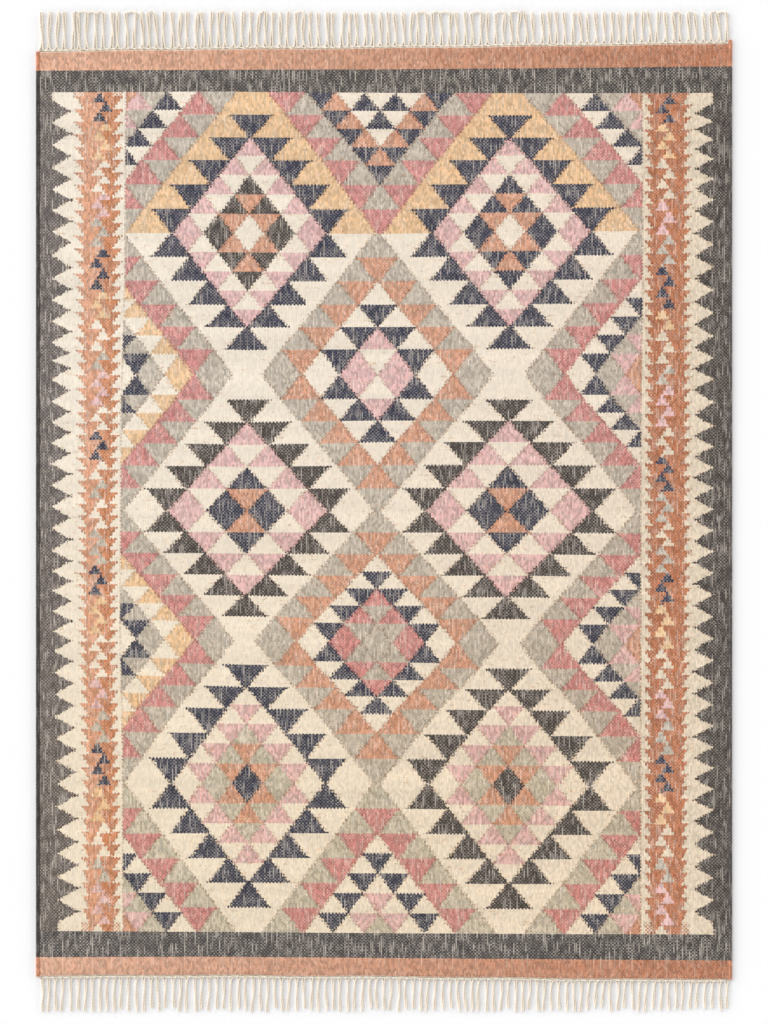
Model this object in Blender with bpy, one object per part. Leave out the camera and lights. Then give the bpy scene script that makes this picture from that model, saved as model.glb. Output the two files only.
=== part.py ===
"""A flat-woven kilim rug, lying flat with the cotton fringe of both ends spread out.

Three solids: the woven cloth with its rolled selvedges, and at each end a twined
heading with the warp ends that come out of it. Sizes are in metres. The origin is
in the middle of the underside, +X runs across the rug, +Y runs along it towards
the far end, and +Z is up.
"""
import math
import random
from collections import namedtuple

import bmesh
import bpy
from mathutils import Matrix

# Driving dimensions: the whole rug, over its fringes
RUG_WIDTH = 1.600
RUG_LENGTH = 2.300

# The cloth, and the space that touching pieces keep
CLOTH_THICKNESS = 0.0050
CLOTH_ROUNDING = 0.0012
PIECE_GAP = 0.0003
WELD_DISTANCE = 0.00005

# The selvedge, a flattened roll of warps wrapped by the wefts
SELVEDGE_WIDTH = 0.0090
SELVEDGE_THICKNESS = 0.0064
SELVEDGE_SIDES = 16
SELVEDGE_LIFT = 0.0001
SELVEDGE_END_ROUNDING = 0.0019

# The twined heading beyond each end of the cloth
HEADING_WIDTH = 0.0060
HEADING_THICKNESS = 0.0052
HEADING_ROUNDING = 0.0013
HEADING_HALF_LENGTH = 0.7905

# The warp ends, four-sided strands that taper to their tips
STRAND_WIDTH = 0.0056
STRAND_THICKNESS = 0.0040
STRAND_ROOT_LIFT = 0.0006
STRAND_ROOT_DEPTH = 0.0030
STRAND_TIP_TAPER = 0.70
STRAND_STEPS = 4
STRAND_SPACING_LEAST = 0.0074
STRAND_BOW_TURNS = 0.75

# How far the cloth's ends lie from the rug's middle. They aren't quite square:
# the far end leans out towards the right, and so does the near end.
EndStation = namedtuple("EndStation", "x far near")
END_STATIONS = (
    EndStation(-0.80, 1.0565, 1.0675),
    EndStation(-0.60, 1.0600, 1.0665),
    EndStation(-0.40, 1.0625, 1.0660),
    EndStation(-0.20, 1.0635, 1.0675),
    EndStation(0.00, 1.0655, 1.0685),
    EndStation(0.20, 1.0680, 1.0710),
    EndStation(0.40, 1.0705, 1.0735),
    EndStation(0.60, 1.0730, 1.0755),
    EndStation(0.80, 1.0765, 1.0750),
)
END_STEPS = 40
BEATING_WAVE = 0.0007
BEATING_WAVE_LENGTH = 0.31

# How far each selvedge roll runs past the corner of the cloth, at its two ends
RollEnds = namedtuple("RollEnds", "side far_past near_past")
ROLLS = (
    RollEnds(-1, 0.0010, 0.0012),
    RollEnds(1, 0.0085, 0.0004),
)

# The fringe at each end: which way it points, its number of strands, how far their
# roots and tips stray sideways, how far they bow, and how much shorter some are
Fringe = namedtuple("Fringe", "name way count seed root_wander tip_wander bow shortfall")
FRINGES = (
    Fringe("fringe_far", 1, 90, 11, 0.0020, 0.0035, 0.0020, 0.0030),
    Fringe("fringe_near", -1, 95, 23, 0.0012, 0.0030, 0.0016, 0.0090),
)

# A strand's x at even steps from root to tip, and how far its tip is from the rug's middle
Strand = namedtuple("Strand", "line tip")

# The yarns' mean colour, in linear light, and how rough they are
Yarn = namedtuple("Yarn", "name color roughness")
WOOL = Yarn("wool_wefts", (0.50, 0.33, 0.25), 0.92)
COTTON = Yarn("cotton_warps", (0.76, 0.68, 0.56), 0.90)


def clear_scene():
    for old in list(bpy.data.objects):
        bpy.data.objects.remove(old, do_unlink=True)


def new_collection(name):
    made = bpy.data.collections.new(name)
    bpy.context.scene.collection.children.link(made)
    return made


def yarn_material(yarn):
    material = bpy.data.materials.new(yarn.name)
    material.use_nodes = True
    shader = material.node_tree.nodes["Principled BSDF"]
    shader.inputs["Base Color"].default_value = (*yarn.color, 1.0)
    shader.inputs["Roughness"].default_value = yarn.roughness
    shader.inputs["Metallic"].default_value = 0.0
    return material


def end_line(x, way):
    """Distance of the cloth's end from the rug's middle, at x across the rug."""
    for left, right in zip(END_STATIONS, END_STATIONS[1:]):
        if x <= right.x:
            break
    share = (x - left.x) / (right.x - left.x)
    if way > 0:
        straight = left.far + share * (right.far - left.far)
    else:
        straight = left.near + share * (right.near - left.near)
    phase = 2.0 * math.pi * x / BEATING_WAVE_LENGTH
    return straight + BEATING_WAVE * math.sin(phase + way)


def across(half_width, steps):
    return [half_width * (2.0 * step / steps - 1.0) for step in range(steps + 1)]


def flat_outline(name, points, thickness, rounding, material, collection):
    """A flat piece cut to an outline, with rounded rims, lying on z = 0."""
    curve = bpy.data.curves.new(name, "CURVE")
    curve.dimensions = "2D"
    curve.fill_mode = "BOTH"
    curve.extrude = 0.5 * thickness - rounding
    curve.bevel_depth = rounding
    curve.bevel_resolution = 1
    curve.offset = -rounding
    spline = curve.splines.new("POLY")
    spline.points.add(len(points) - 1)
    for point, (x, y) in zip(spline.points, points):
        point.co = (x, y, 0.0, 1.0)
    spline.use_cyclic_u = True
    outline = bpy.data.objects.new(name + "_outline", curve)
    outline.location.z = 0.5 * thickness
    collection.objects.link(outline)
    return curve_to_mesh(outline, name, material, collection)


def curve_to_mesh(outline, name, material, collection):
    """Replace a curve object by a closed mesh of the same place and shape."""
    view_layer = bpy.context.view_layer
    view_layer.update()
    evaluated = outline.evaluated_get(view_layer.depsgraph)
    mesh = bpy.data.meshes.new_from_object(evaluated)
    mesh.name = name
    weld = bmesh.new()
    weld.from_mesh(mesh)
    bmesh.ops.remove_doubles(weld, verts=weld.verts, dist=WELD_DISTANCE)
    weld.to_mesh(mesh)
    weld.free()
    mesh.materials.clear()
    mesh.materials.append(material)
    solid = bpy.data.objects.new(name, mesh)
    solid.matrix_world = outline.matrix_world.copy()
    collection.objects.link(solid)
    bpy.data.objects.remove(outline, do_unlink=True)
    return solid


def join_into(solid, tool):
    """Fuse a helper piece into a solid."""
    tool.hide_render = True
    tool.display_type = "WIRE"
    union = solid.modifiers.new("join " + tool.name, "BOOLEAN")
    union.operation = "UNION"
    union.solver = "EXACT"
    union.object = tool


def selvedge_roll(ends, tools):
    """The flattened roll along one side, its ends rounded over."""
    x = ends.side * 0.5 * RUG_WIDTH
    far = end_line(x, 1) + ends.far_past
    near = -end_line(x, -1) - ends.near_past
    roll = bmesh.new()
    middle = (
        x - ends.side * 0.5 * SELVEDGE_WIDTH,
        0.5 * (far + near),
        0.5 * SELVEDGE_THICKNESS + SELVEDGE_LIFT,
    )
    size = (SELVEDGE_WIDTH, SELVEDGE_THICKNESS, far - near)
    place = (
        Matrix.Translation(middle)
        @ Matrix.Rotation(math.radians(90.0), 4, "X")
        @ Matrix.Diagonal((*size, 1.0))
    )
    bmesh.ops.create_cone(
        roll, cap_ends=True, segments=SELVEDGE_SIDES, radius1=0.5, radius2=0.5, depth=1.0, matrix=place
    )
    end_caps = [face for face in roll.faces if len(face.verts) == SELVEDGE_SIDES]
    rims = {edge for face in end_caps for edge in face.edges}
    bmesh.ops.bevel(
        roll, geom=list(rims), offset=SELVEDGE_END_ROUNDING, segments=2, profile=0.5, affect="EDGES"
    )
    mesh = bpy.data.meshes.new("selvedge_roll")
    roll.to_mesh(mesh)
    roll.free()
    tool = bpy.data.objects.new("selvedge_roll", mesh)
    tools.objects.link(tool)
    return tool


def woven_cloth(part, tools):
    """The cloth, cut square along the sides and uneven at its ends."""
    half = 0.5 * (RUG_WIDTH - SELVEDGE_WIDTH)
    stations = across(half, END_STEPS)
    outline = [(x, end_line(x, 1)) for x in stations]
    outline += [(x, -end_line(x, -1)) for x in reversed(stations)]
    wool = yarn_material(WOOL)
    cloth = flat_outline("woven_cloth", outline, CLOTH_THICKNESS, CLOTH_ROUNDING, wool, part)
    for ends in ROLLS:
        join_into(cloth, selvedge_roll(ends, tools))
    return cloth


def heading(fringe, cotton, part):
    """The twined cord that lies along the end of the cloth."""
    stations = across(HEADING_HALF_LENGTH, END_STEPS)
    inner = [(x, fringe.way * (end_line(x, fringe.way) + PIECE_GAP)) for x in stations]
    outer = [(x, y + fringe.way * HEADING_WIDTH) for x, y in inner]
    outline = inner + outer[::-1]
    if fringe.way < 0:
        outline.reverse()
    return flat_outline(fringe.name, outline, HEADING_THICKNESS, HEADING_ROUNDING, cotton, part)


def fringe_strands(fringe):
    """Where each strand of a fringe lies: it leans, bows a little, and is trimmed unevenly."""
    dice = random.Random(fringe.seed)
    limit = HEADING_HALF_LENGTH - 0.5 * STRAND_WIDTH
    strands = []
    for number in range(fringe.count):
        root = limit * (2.0 * number / (fringe.count - 1) - 1.0)
        root += dice.uniform(-1.0, 1.0) * fringe.root_wander
        lean = dice.uniform(-1.0, 1.0) * fringe.tip_wander
        bow = dice.uniform(-1.0, 1.0) * fringe.bow
        short = fringe.shortfall * dice.random() ** 2
        line = []
        for step in range(STRAND_STEPS + 1):
            share = step / STRAND_STEPS
            sway = math.sin(2.0 * math.pi * STRAND_BOW_TURNS * share)
            line.append(root + lean * share + bow * sway)
        strands.append(Strand(line, 0.5 * RUG_LENGTH - short))
    longest = max(strand.tip for strand in strands)
    spare = 0.5 * RUG_LENGTH - longest
    lines = keep_apart([strand.line for strand in strands], limit)
    return [Strand(line, strand.tip + spare) for line, strand in zip(lines, strands)]


def keep_apart(lines, limit):
    """Push strands sideways where they would touch, and keep them along the heading."""
    spaced = []
    floor = [-limit] * (STRAND_STEPS + 1)
    for line in lines:
        line = [max(x, least) for x, least in zip(line, floor)]
        floor = [x + STRAND_SPACING_LEAST for x in line]
        spaced.append(line)
    pushed = []
    ceiling = [limit] * (STRAND_STEPS + 1)
    for line in reversed(spaced):
        line = [min(x, most) for x, most in zip(line, ceiling)]
        ceiling = [x - STRAND_SPACING_LEAST for x in line]
        pushed.append(line)
    return pushed[::-1]


def straight_strand():
    """A box of unit size along +Y, cut across at even steps."""
    strand = bmesh.new()
    bmesh.ops.create_cube(strand, size=1.0, matrix=Matrix.Translation((0.0, 0.5, 0.5)))
    for step in range(1, STRAND_STEPS):
        bmesh.ops.bisect_plane(
            strand,
            geom=strand.verts[:] + strand.edges[:] + strand.faces[:],
            plane_co=(0.0, step / STRAND_STEPS, 0.0),
            plane_no=(0.0, 1.0, 0.0),
        )
    mesh = bpy.data.meshes.new("straight_strand")
    strand.to_mesh(mesh)
    strand.free()
    return mesh


def bend_strand(verts, strand, way):
    """Lay a straight strand along its line, narrower towards its tip."""
    root = end_line(strand.line[0], way) + PIECE_GAP + HEADING_WIDTH - STRAND_ROOT_DEPTH
    for vert in verts:
        share = vert.co.y
        step = round(share * STRAND_STEPS)
        narrow = 1.0 - (1.0 - STRAND_TIP_TAPER) * share
        lift = STRAND_ROOT_LIFT if step == 0 else 0.0
        vert.co.x = strand.line[step] + vert.co.x * STRAND_WIDTH * narrow
        vert.co.y = way * (root + share * (strand.tip - root))
        vert.co.z = lift + vert.co.z * STRAND_THICKNESS * narrow


def strand_pieces(fringe, tools):
    template = straight_strand()
    pieces = bmesh.new()
    for strand in fringe_strands(fringe):
        pieces.from_mesh(template)
        pieces.verts.ensure_lookup_table()
        bend_strand(pieces.verts[-len(template.vertices):], strand, fringe.way)
    bmesh.ops.recalc_face_normals(pieces, faces=pieces.faces)
    mesh = bpy.data.meshes.new(fringe.name + "_strands")
    pieces.to_mesh(mesh)
    pieces.free()
    tool = bpy.data.objects.new(fringe.name + "_strands", mesh)
    tools.objects.link(tool)
    return tool


def main():
    clear_scene()
    part = new_collection("kilim_rug")
    tools = new_collection("joined_pieces")
    woven_cloth(part, tools)
    cotton = yarn_material(COTTON)
    for fringe in FRINGES:
        join_into(heading(fringe, cotton, part), strand_pieces(fringe, tools))


main()
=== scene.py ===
"""The looks of a flat-woven kilim rug that lies flat, seen from straight above.

The cloth is one closed sheet. It carries the pattern's own coordinates as mesh
attributes, and the materials work the pattern out from them. Each end has a twined
heading and a fringe of two-ply cotton warp ends. Lengths are in metres, or in
millimetres where a name or a comment says so.
"""
import math
import random
from collections import namedtuple
from functools import partial

import bmesh
import bpy
import numpy as np
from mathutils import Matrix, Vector, noise


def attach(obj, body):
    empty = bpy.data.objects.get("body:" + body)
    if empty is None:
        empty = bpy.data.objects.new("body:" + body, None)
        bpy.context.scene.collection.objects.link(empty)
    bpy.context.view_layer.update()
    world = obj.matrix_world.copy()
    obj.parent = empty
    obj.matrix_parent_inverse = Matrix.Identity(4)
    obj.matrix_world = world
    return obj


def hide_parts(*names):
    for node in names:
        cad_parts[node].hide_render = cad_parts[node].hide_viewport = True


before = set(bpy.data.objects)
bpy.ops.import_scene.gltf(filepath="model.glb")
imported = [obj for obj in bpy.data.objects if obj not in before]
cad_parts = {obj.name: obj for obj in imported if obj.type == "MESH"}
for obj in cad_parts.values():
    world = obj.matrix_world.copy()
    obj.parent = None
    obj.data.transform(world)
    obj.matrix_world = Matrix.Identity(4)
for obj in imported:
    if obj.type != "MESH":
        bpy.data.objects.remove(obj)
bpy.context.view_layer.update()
bpy.ops.object.select_all(action="DESELECT")

MM = 0.001
TURN = 2.0 * math.pi

# The rug and its solids, as in the frame
RUG_WIDTH = 1.600
RUG_LENGTH = 2.300
CLOTH_THICKNESS = 5.0 * MM
PIECE_GAP = 0.3 * MM
SELVEDGE_WIDTH = 9.0 * MM
SELVEDGE_THICKNESS = 6.4 * MM
HEADING_WIDTH = 6.0 * MM
HEADING_THICKNESS = 5.2 * MM
HEADING_HALF_LENGTH = 0.7905

# How far the cloth's ends lie from the rug's middle, as in the frame
EndStation = namedtuple("EndStation", "x far near")
END_STATIONS = (
    EndStation(-0.80, 1.0565, 1.0675),
    EndStation(-0.60, 1.0600, 1.0665),
    EndStation(-0.40, 1.0625, 1.0660),
    EndStation(-0.20, 1.0635, 1.0675),
    EndStation(0.00, 1.0655, 1.0685),
    EndStation(0.20, 1.0680, 1.0710),
    EndStation(0.40, 1.0705, 1.0735),
    EndStation(0.60, 1.0730, 1.0755),
    EndStation(0.80, 1.0765, 1.0750),
)
# The band lines, in mm from the rug's middle: rust meets charcoal, charcoal meets field
BandStation = namedtuple("BandStation", "x far_rust far_field near_field near_rust")
BAND_STATIONS = (
    BandStation(-0.80, 1013, 963, 964, 1024),
    BandStation(-0.40, 1015, 965, 966, 1023),
    BandStation(0.00, 1016, 962, 969, 1026),
    BandStation(0.40, 1019, 961, 971, 1029),
    BandStation(0.80, 1023, 962, 972, 1032),
)
BEATING_WAVE = 0.7 * MM
BEATING_WAVE_LENGTH = 0.31

# How far each selvedge runs past the corners of the cloth
SelvedgePast = namedtuple("SelvedgePast", "far near")
LEFT_PAST = SelvedgePast(1.0 * MM, 1.2 * MM)
RIGHT_PAST = SelvedgePast(8.5 * MM, 0.4 * MM)

# The field is 28 triangles wide and 36 rows of them long. Some of its row lines, in mm
# from the rug's middle, at the field's left edge, its three inner axes and its right edge
FIELD_UNITS = 28
FIELD_ROWS = 36
RowLine = namedtuple("RowLine", "row left first middle second right")
ROW_LINES = (
    RowLine(3, 807, 807, 806, 808, 807),
    RowLine(6, 640, 639, 638, 643, 645),
    RowLine(9, 476, 474, 475, 476, 480),
    RowLine(11, 375, 371, 373, 374, 375),
    RowLine(12, 313, 315, 314, 316, 316),
    RowLine(13, 256, 257, 259, 257, 256),
    RowLine(15, 158, 153, 159, 160, 158),
    RowLine(18, 2, 1, 1, 1, 0),
    RowLine(21, -143, -146, -148, -147, -151),
    RowLine(23, -239, -241, -247, -247, -249),
    RowLine(24, -292, -298, -300, -305, -306),
    RowLine(25, -346, -352, -358, -362, -361),
    RowLine(27, -447, -454, -454, -457, -460),
    RowLine(30, -624, -625, -625, -630, -633),
    RowLine(33, -798, -796, -797, -799, -799),
)

# The field's two side edges, in mm from the rug's middle, by row
FieldEdge = namedtuple("FieldEdge", "row left right")
FIELD_EDGES = (
    FieldEdge(0, -596, 596),
    FieldEdge(8, -598, 597),
    FieldEdge(13, -606, 593),
    FieldEdge(24, -609, 592),
    FieldEdge(29, -603, 592),
    FieldEdge(36, -602, 592),
)

# The wools, in sRGB
WOOLS = {
    "cream": "F9EDDB",
    # The undyed wool of the right border is a duller lot
    "beige": "E7D5BC",
    "gold": "EFC697",
    "rose": "D28985",
    "pink": "E6BAB9",
    "rust": "D89C7D",
    "grey": "C4B9AA",
    "sage": "CAC1AE",
    "navy": "2F334B",
    "charcoal": "433B38",
}

WARP_COLOR = "ECE0D2"
# How much of the wool's own colour its fibres lend to the warp seen between them
WARP_TINT = 0.38
LEFT_SPINE = "DF9F7C"
LEFT_INNER_SPINE = "CF8558"
RIGHT_SPINE = "BD744C"
RIGHT_INNER_SPINE = "B97049"
LEFT_BAND_RUST = "E1AD90"
RIGHT_BAND_RUST = "B97755"
LEFT_CHARCOAL = "635B59"
LEFT_BAND_CHARCOAL = "4B4645"
RIGHT_BAND_CHARCOAL = "3F3A38"
# The field's wools dull a little towards the right
DULLED_FIELD = (0.92, 0.88, 0.85)

# A medallion is rings of triangles, each ring two rows deep. A ring has an outer and an
# inner wool. Inside the first ring the diamond is divided into its own 5 or 4 rows.
Colouring = namedtuple("Colouring", "first second third centre")
COLOURINGS = {
    "gold, charcoal": Colouring("gold navy", "pink cream", "charcoal rust", "cream"),
    "cream, charcoal": Colouring("cream navy", "pink cream", "charcoal rust", "cream"),
    "gold, navy": Colouring("gold navy", "pink cream", "navy rust", "cream"),
    "cream, navy": Colouring("cream navy", "pink cream", "navy rust", "cream"),
    "left sage": Colouring("cream navy", "cream pink", "sage rust", "navy"),
    "right sage": Colouring("cream charcoal", "cream pink", "sage rust", "charcoal"),
    "far middle": Colouring("rose grey", "navy rust", "cream navy", "cream"),
    "rose middle": Colouring("grey rust", "cream navy", "rose grey", "grey"),
    "near middle": Colouring("sage rose", "cream navy", "cream pink", "sage"),
    "side": Colouring("grey rose", "cream navy", "grey pink", "rust"),
    "gold side": Colouring("grey rose", "gold cream", "grey navy", "cream"),
    "near corner": Colouring("sage rose", "cream navy", "sage pink", "rust"),
    "dark hourglass": Colouring("cream charcoal", "pink cream", "navy rust", None),
    "pink hourglass": Colouring("grey rust", "cream navy", "pink cream", None),
}
COLOURING_NAMES = list(COLOURINGS)

# Each medallion: the row of its centre, its axis in mm from the rug's middle and how far
# that leans in mm a row, its triangles' half base in mm on either side, its colouring
Medallion = namedtuple("Medallion", "row axis lean left_unit right_unit far near")
LARGE_COLUMNS = (
    (
        Medallion(6, -311, -1.0, 43.5, 44.5, "gold, charcoal", "cream, charcoal"),
        Medallion(18, -317, -0.7, 45.0, 46.5, "dark hourglass", "dark hourglass"),
        Medallion(30, -315, 0.8, 43.0, 44.5, "left sage", "left sage"),
    ),
    (
        Medallion(6, 288, 0.0, 44.0, 46.5, "gold, navy", "cream, navy"),
        Medallion(18, 283, -0.7, 46.5, 48.5, "dark hourglass", "dark hourglass"),
        Medallion(30, 286, 0.2, 45.5, 46.0, "right sage", "right sage"),
    ),
)
SMALL_COLUMNS = (
    (
        Medallion(0, -600, 0.0, 42.5, 42.5, "side", "side"),
        Medallion(12, -605, 0.0, 41.5, 41.5, "gold side", "gold side"),
        Medallion(24, -605, 0.0, 42.0, 42.0, "gold side", "gold side"),
        Medallion(36, -602, 0.0, 42.5, 42.5, "near corner", "near corner"),
    ),
    (
        Medallion(0, -9, 0.0, 42.0, 42.0, "far middle", "far middle"),
        Medallion(12, -15, 0.0, 43.0, 43.0, "pink hourglass", "pink hourglass"),
        Medallion(24, -17, 0.0, 45.5, 45.5, "rose middle", "rose middle"),
        Medallion(36, -11, 1.0, 43.5, 43.5, "near middle", "near middle"),
    ),
    (
        Medallion(0, 595, 0.0, 45.0, 45.0, "side", "side"),
        Medallion(12, 590, 0.0, 43.0, 43.0, "side", "side"),
        Medallion(24, 588, 0.0, 44.5, 44.5, "side", "side"),
        Medallion(36, 590, 0.0, 43.5, 43.5, "near corner", "near corner"),
    ),
)
# A small medallion covers a large one up to this reach, counted in triangles
SMALL_REACH = 6.15
# Which part of the field each column and each row of medallions is drawn in
LARGE_AXES = (7, 21)
LARGE_COLUMN_EDGES = (0, 14, 28)
LARGE_ROW_EDGES = (0, 12, 24, 36)
SMALL_AXES = (0, 14, 28)
SMALL_COLUMN_EDGES = (0, 7, 21, 28)
SMALL_ROW_EDGES = (0, 6, 18, 30, 36)

# The side borders, in mm: how far down the rug, and then how far in from its side
BorderLine = namedtuple("BorderLine", "down cream_tip charcoal_tip rust_tip rust_root chain inner_root inner_tip")
# What counts along a border, as (number, mm down the rug) at a few places
Border = namedtuple("Border", "side lines teeth spine chain_start chain bluntness showing yellows wools")
BorderWools = namedtuple("BorderWools", "cream charcoal rust inner_rust")
# The chain's small triangles: wool, how many, and over how many mm
LEFT_CHAIN = (
    ("navy", 3, 65), ("gold", 4, 88), ("cream", 4, 74), ("pink", 3, 57), ("grey", 3, 69),
    ("navy", 4, 99), ("gold", 3, 65), ("cream", 3, 76), ("grey", 2, 42), ("pink", 4, 82),
    ("cream", 3, 57), ("navy", 3, 69), ("cream", 2, 45), ("grey", 2, 42), ("cream", 3, 71),
    ("grey", 4, 82), ("navy", 3, 70), ("gold", 4, 90), ("cream", 5, 99), ("pink", 3, 73),
    ("grey", 3, 78), ("navy", 4, 97), ("gold", 3, 84), ("cream", 3, 80), ("grey", 2, 59),
    ("pink", 4, 97), ("cream", 1, 20),
)
RIGHT_CHAIN = (
    ("navy", 3, 63), ("gold", 4, 82), ("beige", 4, 93), ("pink", 3, 83), ("grey", 3, 67),
    ("navy", 4, 103), ("gold", 2, 48), ("beige", 3, 78), ("grey", 2, 48), ("pink", 4, 97),
    ("beige", 3, 65), ("navy", 4, 83), ("grey", 3, 71), ("beige", 3, 55), ("grey", 3, 61),
    ("navy", 3, 68), ("gold", 4, 107), ("beige", 4, 92), ("pink", 3, 68), ("grey", 3, 84),
    ("navy", 4, 84), ("gold", 3, 76), ("beige", 3, 74), ("grey", 2, 59), ("pink", 4, 99),
    ("beige", 1, 19),
)
LEFT_BORDER = Border(
    -1,
    (
        BorderLine(40, 35, 72, 86, 110, 154, 177, 201),
        BorderLine(320, 37, 73, 88, 112, 147, 174, 198),
        BorderLine(706, 35, 70, 91, 116, 147, 170, 194),
        BorderLine(1000, 34, 72, 95, 118, 143, 166, 188),
        BorderLine(1281, 40, 75, 96, 118, 143, 166, 188),
        BorderLine(1557, 46, 84, 103, 123, 150, 174, 192),
        BorderLine(1830, 50, 90, 105, 121, 150, 177, 194),
    ),
    (
        (0, 18), (0.5, 43), (3.5, 199), (6.5, 344), (7.5, 403), (11.5, 599), (12.5, 633),
        (13.5, 686), (17.5, 877), (21.5, 1077), (26.5, 1307), (31.5, 1562), (37.5, 1882), (38, 1907),
    ),
    ((0, 9), (24, 708), (47, 1315), (67, 1905)),
    1,
    LEFT_CHAIN,
    1.2,
    0.95,
    1.0,
    BorderWools(WOOLS["cream"], LEFT_CHARCOAL, LEFT_SPINE, LEFT_INNER_SPINE),
)
RIGHT_BORDER = Border(
    1,
    (
        BorderLine(40, 42, 76, 92, 114, 152, 182, 200),
        BorderLine(600, 42, 77, 92, 114, 153, 182, 200),
        BorderLine(1150, 42, 78, 93, 114, 156, 183, 201),
        BorderLine(1500, 42, 79, 100, 116, 156, 184, 203),
        BorderLine(1830, 41, 78, 100, 116, 156, 184, 202),
    ),
    (
        (0, 24), (0.5, 47), (1.5, 84), (4.5, 220), (7.5, 374), (11.5, 585), (13.5, 682),
        (14.5, 741), (18.5, 932), (22.5, 1128), (28.5, 1431), (33.5, 1673), (37.5, 1882), (38, 1907),
    ),
    ((0, -1), (25, 709), (48, 1366), (67, 1906)),
    5,
    RIGHT_CHAIN,
    1.35,
    0.80,
    0.2,
    BorderWools(WOOLS["beige"], WOOLS["charcoal"], RIGHT_SPINE, RIGHT_INNER_SPINE),
)

# The weave. Real warp ribs are about 3 mm apart and real picks 1.5 mm, too fine to show.
# They are drawn as ribs 4 mm apart and pairs of picks 8 mm high, the finest that shows
WARP_RIB = 4.0 * MM
PICK_PAIR = 8.0 * MM
# Two wools meet in steps two real ribs wide, and in bumps along a row
EDGE_STEP = 6.0 * MM
ROW_BUMP = 0.38 * PICK_PAIR
MEAN_ROW = 53.0 * MM
MEAN_TOOTH = 50.0 * MM
MEAN_SPINE_TOOTH = 28.0 * MM
THREAD_WANDER = 1.6 * MM
THREAD_WANDER_LENGTH = 24.0 * MM
STREAK_LENGTH = 34.0 * MM
STREAK_SHOWING = 0.85
HEATHER = (0.72, 1.21)
# How much of that the pale undyed wool shows, and how pale a wool is that shows so little
PALE_HEATHER = 0.25
PALE = (0.50, 0.80)
PATCH_SIZE = 26.0 * MM
FLECK_SIZE = 7.0 * MM
ABRASH_HEIGHT = 45.0 * MM
MEAN_UNIT = 43.0 * MM

# The cloth's mesh
COLUMNS_A_UNIT = 5
ROWS_A_ROW = 6
BORDER_COLUMNS = 15
BAND_ROWS = 5
ROLL_ANGLES = (0, 30, 60, 90, 120, 145)
ROLL_FOOT = 9.5 * MM
# An end's rounding, as distances in from it and shares of half the thickness
RIM = ((0.0, 0.0), (0.35 * MM, 0.75), (1.2 * MM, 1.0))
WHOLE = (0.0, 1.0)
UNEVENNESS = 0.35 * MM
UNEVENNESS_LENGTH = 0.11

# The warp ends, as in the frame: the strands' places, and then each strand's two yarns
STRAND_WIDTH = 5.6 * MM
STRAND_ROOT_DEPTH = 3.0 * MM
STRAND_SPACING_LEAST = 7.4 * MM
STRAND_STEPS = 4
STRAND_BOW_TURNS = 0.75
Fringe = namedtuple("Fringe", "name way count seed root_wander tip_wander bow shortfall")
Strand = namedtuple("Strand", "line tip")
FRINGES = (
    Fringe("fringe_far", 1, 90, 11, 2.0 * MM, 3.5 * MM, 2.0 * MM, 3.0 * MM),
    Fringe("fringe_near", -1, 95, 23, 1.2 * MM, 3.0 * MM, 1.6 * MM, 9.0 * MM),
)
Yarns = namedtuple("Yarns", "radius spread root_spread winds end_wander loops seed")
YARNS = {
    "fringe_far": Yarns(2.3 * MM, 2.6 * MM, 5.6 * MM, 0.6, 1.2 * MM, 0.24, 5),
    "fringe_near": Yarns(1.9 * MM, 1.7 * MM, 4.8 * MM, 0.6, 1.8 * MM, 0.0, 8),
}
SPLAY_LENGTH = 9.0 * MM
YARN_LIFT = 0.7
YARN_SIDES = 8
YARN_STEP = 2.1 * MM
YARN_LAY = 16.0 * MM
HEADING_LAY = 22.0 * MM
LOBE = 1.0
SHOULDER = 0.9
GROOVE = 0.8
# How far the twined heading leans onto the last weft, and how much wider its cord is
HEADING_TUCK = 0.4 * MM

# How far edges wander, in units: as loops at every pair of picks, and at random
EDGE_LOOPS = 0.04
EDGE_RAGGEDNESS = 0.07
# A triangle of the inner wool is a little too wide all over, most of all in the first ring
WIDER_FIRST = 0.11
WIDER_INSIDE = 0.04
SPUR = 0.16
# How much painted slit shade, and sunken relief, a spur gets
SPUR_SHADE_AND_DEPTH = 0.5
SIDE_LOOP = 2.5 * MM
SIDE_RAGGEDNESS = 2.5 * MM
# The painted shade of the slits: how far it reaches from an edge in units, and how dark it gets at most
SLIT_REACH = 0.085
SLIT_SHADE_STRENGTH = 0.62
FIRST_HOURGLASS = COLOURING_NAMES.index("dark hourglass")
TOOTH_SPUR = 0.34
TOOTH_SPUR_HALF = 0.10
# Above 1, the cream between the spine's teeth runs in as blunt fingers
FINGER_POWER = 1.5
FIELD_SHOWING = 0.90
# How strongly the warp shows as dots, beside the streaks
DOT_SHOWING = 0.75
# The painted shade in a slit: the share of red, green and blue light that it lets back out
SLIT_SHADE = (0.48, 0.34, 0.24)
CHAIN_SWING = 7.5 * MM
CHAIN_BASE = 30.0 * MM
WEAVE_DEPTH = 0.7 * MM
# What a fleck of more deeply dyed wool keeps of the red, green and blue around it
DEEP_WOOL = (0.89, 0.74, 0.62)
# How the undyed wool yellows towards the near end, and where that starts and ends
YELLOWED_WOOL = (0.955, 0.90, 0.80)
YELLOWING = (0.25, -0.65)
LEFT_SELVEDGE = "332E2D"
RIGHT_SELVEDGE = "4A4442"
RUST_SELVEDGE = "CB8969"
COTTON_PLY = "EFE5D6"
# The painted shade in the grooves between the plies
COTTON_GROOVE_SHADE = "DAC8AF"
FIBRE_WIDTH = 1.6 * MM
FIBRE_LENGTH = 22.0 * MM

# The view and the light
PIXEL = 2.2992 * MM
VIEW_MIDDLE = (-0.0001, -0.00115)
LENS = 135.0
SENSOR = 36.0
FRAME_HEIGHT = 1024
FLOOR_SIZE = 26.0
FLOOR_DROP = 0.2 * MM
FLOOR_COLOR = "FBFBFC"
KEY_ENERGY = 1.1
KEY_SOFTNESS = 40.0
KEY_TURN = (-30.0, -45.0, 0.0)
LOW_LIGHTS = 6
LOW_ENERGY = 0.91
LOW_SOFTNESS = 24.0
LOW_ELEVATION = 14.0
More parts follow.
